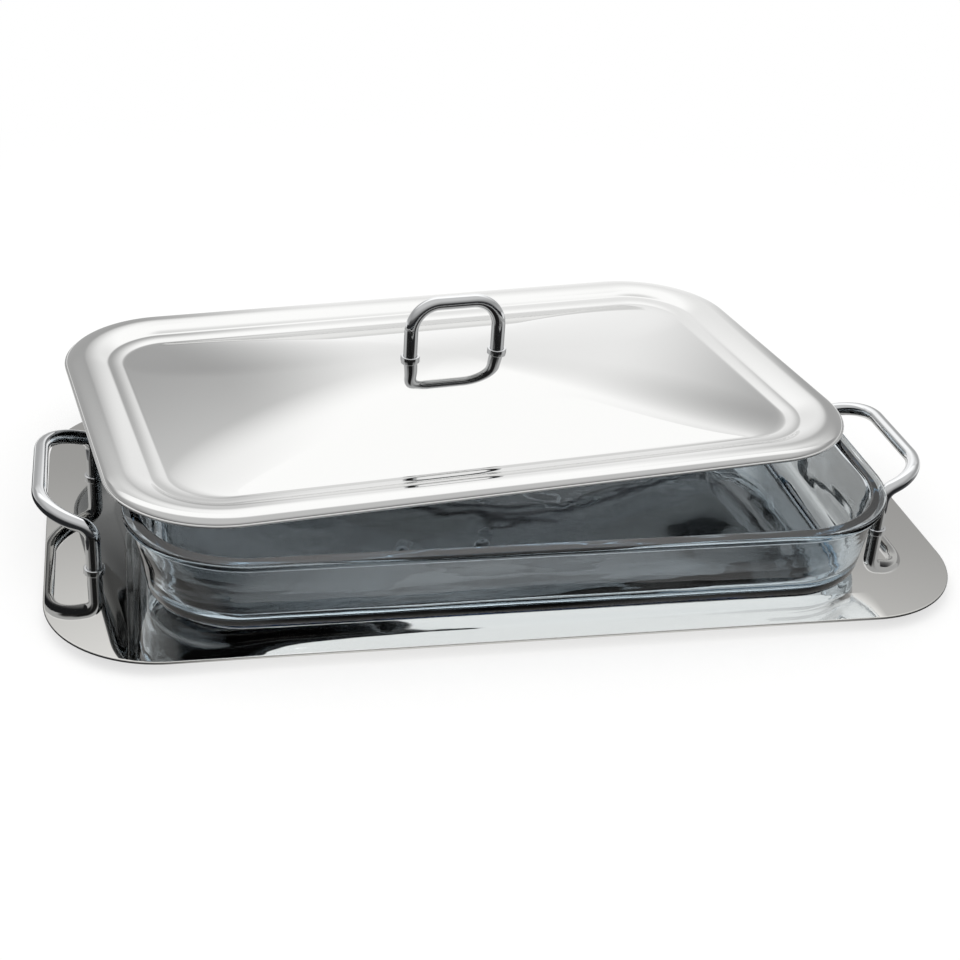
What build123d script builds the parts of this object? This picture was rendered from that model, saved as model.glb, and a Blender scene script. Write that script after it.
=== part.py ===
from build123d import *
import math
import os

# Driving dimensions in millimetres. X runs along the long side, the front of the object faces -Y,
# Z is up, and the finished origin is on the table under the middle of the whole object.

# Serving tray: a flat polished sheet on four rubber feet
tray_end_margin = 40.0
tray_side_margin = 17.0
tray_corner = 60.0
tray_sheet = 1.5
tray_edge_round = 0.5
foot_height = 6.0
foot_top_diameter = 20.0
foot_bottom_diameter = 15.0
foot_from_end = 62.0
foot_from_side = 36.0
foot_edge_round = 1.2

# Bent rods of all three handles
rod_diameter = 8.0

# Handles at the two short ends of the tray
grip_spacing = 100.0
grip_gap = 11.0
grip_leg = 24.0
grip_reach = 26.0
grip_rise = 8.5
grip_taper = 8.0
grip_leg_bend = 8.0
grip_corner_bend = 26.0

# Collars round the feet of the rods
collar_diameter = 11.0
collar_height = 1.8
collar_clearance = 0.1
collar_edge_round = 0.5

# Screws and washers that hold the rods
screw_diameter = 4.0
screw_grip = 10.0
screw_head_diameter = 7.6
screw_head_height = 2.2
screw_head_round = 0.8
thread_clearance = 0.1
hole_clearance = 0.3
washer_diameter = 9.0
washer_thickness = 0.8

# Pressed glass dish
dish_length = 400.0
dish_width = 240.0
dish_height = 46.0
dish_corner = 62.0
rim_width = 8.6
rim_thickness = 4.0
rim_round = 1.5
wall_thickness = 5.0
floor_thickness = 5.0
wall_inset = 12.0
base_corner = 46.0
base_round = 9.0
well_round = 10.0
dish_shift_y = -10.0
seat_gap = 0.2

# Pressed lid: rolled edge, convex shoulder, ledge and domed panel
lid_margin = 9.0
lid_corner = 61.0
lid_sheet = 0.8
bead_radius = 0.85
shoulder_inset = 11.0
shoulder_height = 5.2
shoulder_fullness = 3.0
shoulder_steps = 4
slope_crown = 0.7
crease_inset = 24.0
crease_height = 0.8
ledge_width = 9.0
ledge_fall = 1.4
dome_rise = 22.0
dome_softness = 0.4
dome_centre_roundness = 0.92
dome_sections = (1.0, 0.85, 0.7, 0.55, 0.4, 0.28, 0.16, 0.06)
lid_turn = 8.2
lid_shift_x = -12.0
lid_shift_y = 52.0

# Upright handle of the lid
knob_spacing = 52.0
knob_height = 31.5
knob_bend = 16.0

# Values that follow from the driving dimensions
tray_length = dish_length + 2 * tray_end_margin
tray_width = dish_width + 2 * tray_side_margin
tray_top = foot_height + tray_sheet
dish_bottom = tray_top + seat_gap
rim_top = dish_bottom + dish_height
lid_length = dish_length + 2 * lid_margin
lid_width = dish_width + 2 * lid_margin
valley_inset = crease_inset + ledge_width
valley_height = crease_height - ledge_fall
lid_base = rim_top + seat_gap + lid_sheet - valley_height
panel_half_length = lid_length / 2 - valley_inset
panel_half_width = lid_width / 2 - valley_inset
panel_corner = lid_corner - valley_inset
grip_foot_x = dish_length / 2 + grip_gap + rod_diameter / 2
lid_place = Pos(lid_shift_x, lid_shift_y, lid_base) * Rot(0, 0, lid_turn)


def outline(length, width, corner, z):
    return Pos(0, 0, z) * RectangleRounded(length, width, corner)


def dish_ring(inset, corner, z):
    return outline(dish_length - 2 * inset, dish_width - 2 * inset, corner, z)


def cylinder(diameter, bottom, height):
    upright = (Align.CENTER, Align.CENTER, Align.MIN)
    return Pos(0, 0, bottom) * Cylinder(diameter / 2, height, align=upright)


def at_places(shape, places):
    return Compound(children=[Pos(x, y, z) * shape for x, y, z in places])


def grip_feet(z):
    half = grip_spacing / 2
    return [(side * grip_foot_x, end * half, z) for side in (-1, 1) for end in (-1, 1)]


# Tray


def make_tray():
    sheet = extrude(outline(tray_length, tray_width, tray_corner, foot_height), tray_sheet)
    rims = sheet.edges().group_by(Axis.Z)
    sheet = fillet(rims[0] + rims[-1], tray_edge_round)
    hole = cylinder(screw_diameter + 2 * hole_clearance, 0, tray_top)
    for x, y, z in grip_feet(foot_height / 2):
        sheet -= Pos(x, y, z) * hole
    return sheet


def make_tray_feet():
    flare = (foot_top_diameter - foot_bottom_diameter) / 2
    cone = loft([Circle(foot_bottom_diameter / 2), Pos(0, 0, foot_height) * Circle(foot_top_diameter / 2)])
    cone = fillet(cone.edges().group_by(Axis.Z)[0], min(foot_edge_round, flare))
    x = tray_length / 2 - foot_from_end
    y = tray_width / 2 - foot_from_side
    return at_places(cone, [(i * x, j * y, 0) for i in (-1, 1) for j in (-1, 1)])


# Bent rods


def bent_rod(points, bends):
    path = FilletPolyline(*points, radius=bends)
    start = Plane(origin=path @ 0, z_dir=path % 0)
    return sweep(start * Circle(rod_diameter / 2), path=path)


def tapped(rod, places):
    bore = cylinder(screw_diameter + 2 * thread_clearance, 0, screw_grip + 2 * thread_clearance)
    for x, y, z in places:
        rod -= Pos(x, y, z) * bore
    return rod


def make_grip(side):
    half = grip_spacing / 2
    foot = side * grip_foot_x
    tip = side * (grip_foot_x + grip_reach)
    tip_half = half - grip_taper
    bend = tray_top + grip_leg
    points = [
        (foot, -half, tray_top),
        (foot, -half, bend),
        (tip, -tip_half, bend + grip_rise),
        (tip, tip_half, bend + grip_rise),
        (foot, half, bend),
        (foot, half, tray_top),
    ]
    bends = [grip_leg_bend, grip_corner_bend, grip_corner_bend, grip_leg_bend]
    rod = bent_rod(points, bends)
    return tapped(rod, [points[0], points[-1]])


def make_knob(foot_z):
    half = knob_spacing / 2
    top = dome_top() + knob_height
    points = [(-half, 0, foot_z), (-half, 0, top), (half, 0, top), (half, 0, foot_z)]
    rod = bent_rod(points, [knob_bend, knob_bend])
    return tapped(rod, [points[0], points[-1]])


# Collars, washers and screws


def make_collar(bottom, height):
    ring = cylinder(collar_diameter, bottom, height)
    ring = fillet(ring.edges().group_by(Axis.Z)[-1], collar_edge_round)
    return ring - cylinder(rod_diameter + 2 * collar_clearance, bottom, height)


def make_washer():
    disc = cylinder(washer_diameter, -washer_thickness, washer_thickness)
    return disc - cylinder(screw_diameter + 2 * thread_clearance, -washer_thickness, washer_thickness)


def make_screw(clamped):
    under = -washer_thickness
    head = cylinder(screw_head_diameter, under - screw_head_height, screw_head_height)
    head = fillet(head.edges().group_by(Axis.Z)[0], screw_head_round)
    return head + cylinder(screw_diameter, under, washer_thickness + clamped + screw_grip)


# Glass dish


def make_dish():
    base = dish_ring(wall_inset, base_corner, 0)
    lip = rim_width - wall_thickness
    shoulder = dish_ring(lip, dish_corner - lip, dish_height - rim_thickness / 2)
    body = loft([base.face(), shoulder.face()], ruled=True)
    body = fillet(body.edges().group_by(Axis.Z)[0], base_round)
    rim = extrude(dish_ring(0, dish_corner, dish_height - rim_thickness), rim_thickness)
    levels = rim.edges().group_by(Axis.Z)
    rim = fillet(levels[0] + levels[-1], rim_round)
    floor = dish_ring(wall_inset + wall_thickness, base_corner - wall_thickness, floor_thickness)
    mouth = dish_ring(rim_width, dish_corner - rim_width, dish_height)
    well = loft([floor.face(), mouth.face()], ruled=True)
    well = fillet(well.edges().group_by(Axis.Z)[0], well_round)
    dish = body + rim - well
    mouth_edges = [e for e in dish.edges().group_by(Axis.Z)[-1] if inside_rim(e)]
    dish = fillet(mouth_edges, rim_round)
    return Pos(0, dish_shift_y, dish_bottom) * dish


def inside_rim(edge):
    middle = edge.center(CenterOf.BOUNDING_BOX)
    reach = rim_width - rim_round
    return abs(middle.X) < dish_length / 2 - reach and abs(middle.Y) < dish_width / 2 - reach


# Lid


def dome_share(s):
    slope = math.hypot(1, dome_softness) - dome_softness
    return 1 - (math.hypot(s, dome_softness) - dome_softness) / slope


def dome_height(x, y):
    s = max(abs(x) / panel_half_length, abs(y) / panel_half_width)
    return valley_height + dome_rise * dome_share(s)


def dome_top():
    return valley_height + dome_rise


def lid_ring(inset, z):
    return outline(lid_length - 2 * inset, lid_width - 2 * inset, lid_corner - inset, z)


def panel_ring(s, z):
    edge_share = panel_corner / panel_half_width
    share = edge_share + (dome_centre_roundness - edge_share) * math.sqrt(1 - s)
    return outline(2 * panel_half_length * s, 2 * panel_half_width * s, share * panel_half_width * s, z)


def shoulder_curve():
    # A quarter of a full oval, steep at the rolled edge and nearly level at the top
    angles = [math.pi / 2 * step / shoulder_steps for step in range(shoulder_steps + 1)]
    power = 2 / shoulder_fullness
    return [(max(math.cos(a), 0) ** power, math.sin(a) ** power) for a in angles]


def lid_body(drop, trim, block_inset):
    # Everything under the top skin of the lid, lowered by drop and drawn in by trim at the edge
    floor = valley_height - dome_rise - drop
    rise = shoulder_height - bead_radius
    turn = shoulder_inset - bead_radius
    arc = [(shoulder_inset - turn * u, bead_radius + rise * v) for u, v in shoulder_curve()]
    shoulder = loft([lid_ring(inset + trim, z - drop).face() for inset, z in arc])
    block = extrude(lid_ring(block_inset, floor), bead_radius - drop - floor)
    mid_inset = (shoulder_inset + crease_inset) / 2
    mid_height = (shoulder_height + crease_height) / 2 + slope_crown
    slope = [(shoulder_inset, shoulder_height), (mid_inset, mid_height), (crease_inset, crease_height)]
    hollow = loft([lid_ring(i, z - drop).face() for i, z in slope])
    ledge_ends = [(crease_inset, crease_height), (valley_inset, valley_height)]
    ledge = loft([lid_ring(i, z - drop).face() for i, z in ledge_ends])
    heights = [valley_height + dome_rise * dome_share(s) - drop for s in dome_sections]
    dome = loft([panel_ring(s, z).face() for s, z in zip(dome_sections, heights)])
    return block + shoulder - hollow - ledge + dome


def make_bead():
    path = lid_ring(bead_radius, bead_radius).face().outer_wire()
    start = Plane(origin=path @ 0, z_dir=path % 0)
    return sweep(start * Circle(bead_radius), path=path)


def knob_places():
    return [(side * knob_spacing / 2, 0, 0) for side in (-1, 1)]


def make_lid_pieces():
    upper = lid_body(0.0, 0.0, shoulder_inset)
    lower = lid_body(lid_sheet, lid_sheet, bead_radius + lid_sheet)
    shell = upper - lower + make_bead()
    hole = cylinder(screw_diameter + 2 * hole_clearance, 0, dome_top() + lid_sheet)
    for place in knob_places():
        shell -= Pos(*place) * hole
    foot = dome_height(knob_spacing / 2 - rod_diameter / 2, 0)
    knob = make_knob(foot)
    low = dome_height(knob_spacing / 2 + collar_diameter / 2, 0) - lid_sheet
    high = foot + collar_height
    collars = at_places(make_collar(low, high - low), knob_places()) - upper
    under = dome_height(knob_spacing / 2 + washer_diameter / 2, 0) - lid_sheet
    seats = [(x, y, under) for x, y, _ in knob_places()]
    washers = at_places(make_washer(), seats)
    screws = at_places(make_screw(foot - under), seats)
    return {
        "lid_shell": shell,
        "lid_handle": knob,
        "lid_handle_collars": collars,
        "lid_handle_washers": washers,
        "lid_handle_screws": screws,
    }


def make_all():
    pieces = {
        "serving_tray": make_tray(),
        "tray_feet": make_tray_feet(),
        "tray_handle_left": make_grip(-1),
        "tray_handle_right": make_grip(1),
        "tray_handle_collars": at_places(make_collar(0, collar_height), grip_feet(tray_top)),
        "tray_handle_washers": at_places(make_washer(), grip_feet(foot_height)),
        "tray_handle_screws": at_places(make_screw(tray_sheet), grip_feet(foot_height)),
        "glass_dish": make_dish(),
    }
    for name, shape in make_lid_pieces().items():
        pieces[name] = lid_place * shape
    boxes = [shape.bounding_box() for shape in pieces.values()]
    middle_x = (min(box.min.X for box in boxes) + max(box.max.X for box in boxes)) / 2
    middle_y = (min(box.min.Y for box in boxes) + max(box.max.Y for box in boxes)) / 2
    to_origin = Pos(-middle_x, -middle_y, 0)
    print("middle of the object from the middle of the tray", middle_x, middle_y)
    return {name: to_origin * shape for name, shape in pieces.items()}


os.makedirs("parts", exist_ok=True)
for name, shape in make_all().items():
    export_step(shape, os.path.join("parts", name + ".step"))
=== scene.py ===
# %% [markdown]
# This lesson dresses a dish that keeps food warm at the table: a pressed glass baking dish, a domed steel
# lid that lies askew on it, and a flat polished tray with two bent-rod handles. The construction comes from
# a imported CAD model, which is loaded first and never moved. Every piece made below takes its place from it.

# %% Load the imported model
import math

import bmesh
import bpy
from mathutils import Matrix, Quaternion, Vector


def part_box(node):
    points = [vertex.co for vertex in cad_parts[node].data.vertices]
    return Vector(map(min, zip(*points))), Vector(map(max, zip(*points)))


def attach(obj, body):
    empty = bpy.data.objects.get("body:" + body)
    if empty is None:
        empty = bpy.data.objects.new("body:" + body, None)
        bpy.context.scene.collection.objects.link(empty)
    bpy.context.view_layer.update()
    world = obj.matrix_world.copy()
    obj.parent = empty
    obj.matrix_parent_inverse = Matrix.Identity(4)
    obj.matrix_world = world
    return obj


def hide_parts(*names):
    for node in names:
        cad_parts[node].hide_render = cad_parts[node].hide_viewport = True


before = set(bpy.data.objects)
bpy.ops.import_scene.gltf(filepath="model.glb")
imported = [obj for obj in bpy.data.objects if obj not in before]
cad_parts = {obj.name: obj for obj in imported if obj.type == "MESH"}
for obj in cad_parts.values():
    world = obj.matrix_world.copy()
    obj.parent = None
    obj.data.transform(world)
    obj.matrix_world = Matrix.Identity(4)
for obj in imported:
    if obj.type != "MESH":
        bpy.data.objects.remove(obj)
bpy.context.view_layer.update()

print("nodes in the frame:", sorted(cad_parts))

# %% [markdown]
# Blender measures in metres and a kitchen part is drawn in millimetres, so sizes below are written in
# millimetres times MM. Where the frame knows a size, such as the place of the tray, the script asks it.

# %% Places that the frame gives
MM = 0.001

tray_low, tray_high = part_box("serving_tray")
dish_low, dish_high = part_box("glass_dish")
lid_low, lid_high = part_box("lid_shell")
tray_middle = (tray_low + tray_high) / 2
dish_middle = (dish_low + dish_high) / 2
lid_middle = (lid_low + lid_high) / 2
tray_top = tray_high.z
print("tray", [round(v / MM, 1) for v in tray_high - tray_low], "mm")
print("dish", [round(v / MM, 1) for v in dish_high - dish_low], "mm")

# %% [markdown]
# Polished metal shows every flaw of its mesh: a row of small flat faces turns a smooth reflection into
# a broken one. So nothing here keeps the faceted CAD skin. Each piece is skinned over closed rings that
# all have the same number of points, close together where the real surface bends. A subdivision surface
# could give the same, but rings let each radius be written as its real size.

# %% Skin over rings
def skinned(rings, closed=False):
    # Faces between rings of equal count; the two ends are closed by a fan, or joined if closed is true
    count = len(rings[0])
    points = [Vector(point) for ring in rings for point in ring]
    faces = []
    rows = len(rings) if closed else len(rings) - 1
    for row in range(rows):
        near = row * count
        far = (row + 1) % len(rings) * count
        for i in range(count):
            j = (i + 1) % count
            faces.append((near + i, near + j, far + j, far + i))
    if not closed:
        for ring_start in (0, len(points) - count):
            ring = range(ring_start, ring_start + count)
            points.append(sum((points[i] for i in ring), Vector()) / count)
            faces += [(i, ring_start + (i - ring_start + 1) % count, len(points) - 1) for i in ring]
    return points, faces


def moved(shell, matrix):
    points, faces = shell
    return [matrix @ point for point in points], faces


square = ((0, 0), (1, 0), (1, 1), (0, 1))
box_points, box_faces = skinned([[(x, y, z) for x, y in square] for z in (0, 1)])
print("two square rings give a box of", len(box_points), "points and", len(box_faces), "faces")

# %% [markdown]
# A skin becomes an object in one function, so that no piece misses a step. Its faces are turned outward,
# because glass has to know its inside from its outside, and they are shaded smooth except across real edges.
# The piece is then hung on the empty of the body it moves with and given its material, and the CAD node that
# it stands for is hidden. Each piece could be made by hand in the viewport, but then a new size would mean
# new work.

# %% Show a piece
def show_piece(name, shells, material, body, node, sharp_degrees=40):
    points = []
    faces = []
    for shell_points, shell_faces in shells:
        start = len(points)
        points += shell_points
        faces += [tuple(start + i for i in face) for face in shell_faces]
    mesh = bpy.data.meshes.new(name)
    mesh.from_pydata(points, [], faces)
    outward = bmesh.new()
    outward.from_mesh(mesh)
    bmesh.ops.recalc_face_normals(outward, faces=outward.faces)
    outward.to_mesh(mesh)
    outward.free()
    mesh.polygons.foreach_set("use_smooth", [True] * len(mesh.polygons))
    mesh.set_sharp_from_angle(angle=math.radians(sharp_degrees))
    mesh.materials.append(material)
    piece = bpy.data.objects.new(name, mesh)
    bpy.context.scene.collection.objects.link(piece)
    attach(piece, body)
    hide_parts(node)
    print("made", name, "with", len(mesh.polygons), "faces")
    return piece


print("pieces to make:", len(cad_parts))

# %% [markdown]
# Materials are node trees. One helper adds a node, sets its options and either fills or links its
# inputs, which keeps every material below down to the few lines that matter. Colours are written as the
# sRGB hex values that a paint program shows, and one function turns them into the linear values of a shader.

# %% Material helpers
def linear(hex_code):
    channels = [int(hex_code[i:i + 2], 16) / 255 for i in (1, 3, 5)]
    bent = [c / 12.92 if c <= 0.04045 else ((c + 0.055) / 1.055) ** 2.4 for c in channels]
    return (*bent, 1.0)


def add_node(tree, kind, inputs=None, **settings):
    # An input is a plain value, a socket, or a node, which gives the first of its outputs that is in use
    node = tree.nodes.new(kind)
    for name, value in settings.items():
        setattr(node, name, value)
    for name, value in (inputs or {}).items():
        if isinstance(value, bpy.types.Node):
            value = next(output for output in value.outputs if output.enabled)
        if isinstance(value, bpy.types.NodeSocket):
            tree.links.new(value, node.inputs[name])
        else:
            node.inputs[name].default_value = value
    return node


def new_material(name):
    material = bpy.data.materials.new(name)
    material.use_nodes = True
    material.node_tree.nodes.clear()
    return material, material.node_tree


def per_metre(size_mm):
    # A noise node's scale is the number of features in a metre
    return 1 / (size_mm * MM)


print("middle grey #808080 is", round(linear("#808080")[0], 3), "in a shader")

# %% [markdown]
# Stainless steel, mirror polished: rolled sheet or drawn rod that was buffed until it reflects like glass.
# The eye sees hardly any colour of its own, only a faint grey over the room's reflection. Two things keep
# it from looking like a computer's mirror: the surface is never quite flat, so straight reflections sway
# a little, and the buffing wheel leaves a fine haze that comes and goes. Its scratches are too fine to show,
# so the haze is drawn as the larger patches that they make. A picture of wear could be wrapped round each
# piece, but noise in real millimetres needs no unwrapping and shows no seam.

# %% Mirror-polished stainless steel
HAZE_FROM = 0.3
HAZE_TO = 0.7


def polished_steel(name, colour, sway_mm, sway_depth_mm, haze_mm, haze_low, haze_high):
    # The surface sways by sway_depth_mm over sway_mm; roughness goes from haze_low to haze_high over haze_mm
    material, tree = new_material(name)
    place = add_node(tree, "ShaderNodeTexCoord").outputs["Object"]
    haze = add_node(tree, "ShaderNodeTexNoise", {
        "Vector": place, "Scale": per_metre(haze_mm), "Detail": 4.0})
    roughness = add_node(tree, "ShaderNodeMapRange", {
        "Value": haze, "From Min": HAZE_FROM, "From Max": HAZE_TO, "To Min": haze_low, "To Max": haze_high})
    sway = add_node(tree, "ShaderNodeTexNoise", {
        "Vector": place, "Scale": per_metre(sway_mm), "Detail": 1.0})
    bump = add_node(tree, "ShaderNodeBump", {
        "Height": sway, "Strength": 1.0, "Distance": sway_depth_mm * MM}, name="bump")
    shader = add_node(tree, "ShaderNodeBsdfPrincipled", {
        "Base Color": linear(colour), "Metallic": 1.0, "Roughness": roughness, "Normal": bump}, name="steel")
    add_node(tree, "ShaderNodeOutputMaterial", {"Surface": shader})
    print("material:", name)
    return material


# Drawn rod, buffed along its length: narrow bright lines with slightly soft edges
rod_steel = polished_steel("buffed_stainless_rod", "#d4d5d6", sway_mm=9, sway_depth_mm=0.002,
                           haze_mm=3, haze_low=0.02, haze_high=0.06)

# %% [markdown]
# A sheet that is buffed on a wheel gets its long edges rolled over a little, most in the middle of each edge.
# On a mirror that swings the reflection away from the dark dish, so a pale strip runs along the front. The
# edge could be curved in the mesh, but the sheet is flat and its outline straight. So a bump along the edge
# turns the reflections instead, by ten degrees: more than buffing gives, and set to show the strip.

# %% Buffed tray sheet
EDGE_BAND = 24 * MM
EDGE_SLOPE = math.tan(math.radians(10))
EDGE_FADE = ((-178 * MM, -120 * MM), (185 * MM, 160 * MM))


def roll_long_edges(material):
    tree = material.node_tree
    place = add_node(tree, "ShaderNodeTexCoord").outputs["Object"]
    split = add_node(tree, "ShaderNodeSeparateXYZ", {"Vector": place})
    band_start = tray_high.y - tray_middle.y - EDGE_BAND
    # How far a place lies inside the band, times the slope
    fall = split.outputs["Y"]
    for operation, number in (("SUBTRACT", tray_middle.y), ("ABSOLUTE", 0.0), ("SUBTRACT", band_start),
                              ("MAXIMUM", 0.0), ("MULTIPLY", -EDGE_SLOPE)):
        fall = add_node(tree, "ShaderNodeMath", {0: fall, 1: number}, operation=operation)
    for start, end in EDGE_FADE:
        fade = add_node(tree, "ShaderNodeMapRange", {
            "Value": split.outputs["X"], "From Min": start, "From Max": end}, interpolation_type="SMOOTHSTEP")
        fall = add_node(tree, "ShaderNodeMath", {0: fall, 1: fade}, operation="MULTIPLY")
    rolled = add_node(tree, "ShaderNodeBump", {"Height": fall, "Strength": 1.0, "Distance": 1.0})
    tree.links.new(rolled.outputs["Normal"], tree.nodes["bump"].inputs["Normal"])


# Cold-rolled sheet, buffed flat: a warm grey mirror in which straight lines bend slowly
tray_steel = polished_steel("buffed_stainless_sheet", "#c8c7c4", sway_mm=90, sway_depth_mm=0.12,
                            haze_mm=12, haze_low=0.015, haze_high=0.04)
roll_long_edges(tray_steel)

# %% [markdown]
# The tray, the dish and the lid share one outline, a rectangle with round corners. Blender could bevel
# a plain rectangle, but a ring that is worked out has the same number of points at every size, so any two
# of them can be joined by a skin.

# %% Rounded rings
ARC_STEPS = 24
LONG_SIDE_STEPS = 48
SHORT_SIDE_STEPS = 26


def rounded_ring(half_x, half_y, corner, z):
    inner_x = half_x - corner
    inner_y = half_y - corner
    centres = ((inner_x, inner_y), (-inner_x, inner_y), (-inner_x, -inner_y), (inner_x, -inner_y))
    points = []
    for quarter, (x, y) in enumerate(centres):
        for step in range(ARC_STEPS):
            angle = (quarter + step / ARC_STEPS) * math.pi / 2
            points.append(Vector((x + corner * math.cos(angle), y + corner * math.sin(angle), z)))
        end_angle = (quarter + 1) * math.pi / 2
        reach = Vector((corner * math.cos(end_angle), corner * math.sin(end_angle), z))
        next_x, next_y = centres[(quarter + 1) % 4]
        steps = SHORT_SIDE_STEPS if quarter % 2 else LONG_SIDE_STEPS
        for step in range(steps):
            part = step / steps
            points.append(reach + Vector((x + (next_x - x) * part, y + (next_y - y) * part, 0)))
    return points


print("points in a rounded ring:", len(rounded_ring(2, 1, 0.5, 0)))

# %% [markdown]
# The tray is one flat sheet, 1.5 mm thick, with large corners and a broken edge. A cube with a bevel would
# do, but the top has to stay a true mirror. So it is a fan of flat faces inside a narrow support ring:
# without that ring, smooth shading would tilt the mirror near its edge.

# %% Serving tray
TRAY_CORNER = 60 * MM
TRAY_EDGE_ROUND = 0.5 * MM
EDGE_STEPS = 5
SUPPORT = 0.4 * MM


def quarter_round(first_degrees, middle, middle_z, radius):
    # Places (reach, height) on a quarter of a circle, which starts at first_degrees
    turns = [math.radians(first_degrees + 90 * step / EDGE_STEPS) for step in range(EDGE_STEPS + 1)]
    return [(middle + radius * math.cos(turn), middle_z + radius * math.sin(turn)) for turn in turns]


def round_edge(low_z, high_z, radius):
    # Places (inset, height) up the outside of a sheet with both edges rounded
    lower = quarter_round(-90, -radius, low_z + radius, radius)
    upper = quarter_round(0, -radius, high_z - radius, radius)
    return [(-reach, z) for reach, z in lower + upper]


def tray_ring(inset, z):
    half_x = tray_high.x - tray_middle.x - inset
    half_y = tray_high.y - tray_middle.y - inset
    return rounded_ring(half_x, half_y, TRAY_CORNER - inset, z)


def tray_rings():
    flat = TRAY_EDGE_ROUND + SUPPORT
    edge = round_edge(tray_low.z, tray_high.z, TRAY_EDGE_ROUND)
    return [tray_ring(inset, z) for inset, z in [(flat, tray_low.z)] + edge + [(flat, tray_high.z)]]


to_tray = Matrix.Translation((tray_middle.x, tray_middle.y, 0))
show_piece("tray_sheet", [moved(skinned(tray_rings()), to_tray)], tray_steel, "tray",
           "serving_tray")

# %% [markdown]
# Soda-lime glass, pressed in a mould and fire-polished: clear, with a blue-grey tint that only shows where
# light runs a long way inside it, such as along the rim. The plunger leaves slow waves, which make everything
# seen through the floor of the dish swim. The glass also flows level along the walls as it fills the
# mould, which draws fine streaks and broad swells there. A denser mesh could carry these waves, but a bump
# bends the light too and keeps the walls clean. The depths are given below, and the swells are deeper than in
# real glass, so that they show.

# %% Pressed soda-lime glass
GLASS_TINT = "#82b9d4"
TINT_DENSITY = 30.0
WAVE_MM = 60
WAVE_DEPTH = 0.55 * MM
WAVE_SWIRL = 1.2
STREAK_MM = 14
STREAK_DEPTH = 0.6 * MM
STREAK_DRAW = (0.12, 0.12, 1.0)
SWELL_MM = 32
SWELL_DEPTH = 5 * MM
SWELL_DRAW = (0.3, 0.3, 1.0)


def level_waves(tree, place, draw, size_mm, depth, normal, detail):
    # Waves that are drawn out along the level, so each is longer than it is high
    drawn = add_node(tree, "ShaderNodeVectorMath", {0: place, 1: draw}, operation="MULTIPLY")
    waves = add_node(tree, "ShaderNodeTexNoise", {
        "Vector": drawn, "Scale": per_metre(size_mm), "Detail": detail})
    return add_node(tree, "ShaderNodeBump", {
        "Height": waves, "Strength": 1.0, "Distance": depth, "Normal": normal})


def pressed_glass():
    material, tree = new_material("pressed_soda_lime_glass")
    place = add_node(tree, "ShaderNodeTexCoord").outputs["Object"]
    waves = add_node(tree, "ShaderNodeTexNoise", {
        "Vector": place, "Scale": per_metre(WAVE_MM), "Detail": 1.0, "Distortion": WAVE_SWIRL})
    slow = add_node(tree, "ShaderNodeBump", {"Height": waves, "Strength": 1.0, "Distance": WAVE_DEPTH})
    streaks = level_waves(tree, place, STREAK_DRAW, STREAK_MM, STREAK_DEPTH, slow, detail=2.0)
    swells = level_waves(tree, place, SWELL_DRAW, SWELL_MM, SWELL_DEPTH, streaks, detail=0.0)
    shader = add_node(tree, "ShaderNodeBsdfPrincipled", {
        "Base Color": linear("#ffffff"), "Roughness": 0.0, "IOR": 1.52, "Transmission Weight": 1.0,
        "Normal": swells})
    tint = add_node(tree, "ShaderNodeVolumeAbsorption", {
        "Color": linear(GLASS_TINT), "Density": TINT_DENSITY})
    add_node(tree, "ShaderNodeOutputMaterial", {"Surface": shader, "Volume": tint})
    print("material:", material.name)
    return material


# Glass from a hot mould: sharp reflections, dark edges, and a view through the walls that swims
dish_glass = pressed_glass()

# %% [markdown]
# The walls of the dish taper, so that it leaves its mould, and meet the floor in a large round, inside and
# out. Both are the same run of rings: a flat support ring, the round and the sloping wall. The corners get
# tighter on the way down, as a taper gives. A loft between two outlines would do it too, but without
# control over the round.

# %% Tapered walls
RIM_CORNER = 62 * MM
RIM_WIDTH = 8.6 * MM
RIM_THICKNESS = 4 * MM
RIM_ROUND = 1.5 * MM
WALL = 5 * MM
FLOOR = 5 * MM
BASE_INSET = 12 * MM
BASE_CORNER = 46 * MM
BASE_ROUND = 9 * MM
WELL_ROUND = 10 * MM
WALL_STEPS = 12
ROUND_STEPS = 14

dish_height = dish_high.z - dish_low.z
dish_half_x = dish_high.x - dish_middle.x
dish_half_y = dish_high.y - dish_middle.y


def dish_wall(low, high, round_radius):
    # From low to high, each (inset, corner, z), with a rounded foot that starts on the flat
    low_inset, low_corner, low_z = low
    high_inset, high_corner, high_z = high
    lean = math.atan2(low_inset - high_inset, high_z - low_z)
    turn = math.pi / 2 - lean
    tangent = round_radius * math.tan(turn / 2)
    rings = [(low_inset + tangent + SUPPORT, low_z)]
    for step in range(ROUND_STEPS + 1):
        angle = turn * step / ROUND_STEPS
        rings.append((low_inset + tangent - round_radius * math.sin(angle),
                      low_z + round_radius * (1 - math.cos(angle))))
    start_inset, start_z = rings[-1]
    for step in range(1, WALL_STEPS + 1):
        part = step / WALL_STEPS
        rings.append((start_inset + (high_inset - start_inset) * part, start_z + (high_z - start_z) * part))
    climb = (high_corner - low_corner) / (high_z - low_z)
    return [(inset, low_corner + climb * (z - low_z) - max(0, inset - low_inset), z) for inset, z in rings]


under_rim = dish_height - RIM_THICKNESS
rim_joint = dish_height - RIM_THICKNESS / 2
taper = (BASE_INSET - RIM_WIDTH + WALL) / rim_joint
wall_top = BASE_INSET - taper * under_rim
print("the walls lean by", round(math.degrees(math.atan(taper)), 1), "degrees")

# %% [markdown]
# The dish is one closed skin. Its profile runs from the middle of the underside, up the outside, over the
# flat rim and down into the well, so light bends correctly as it enters and leaves the glass. A thin shell
# with a solidify modifier would be quicker, but it would give the wall, the floor and the rim one thickness.

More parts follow.
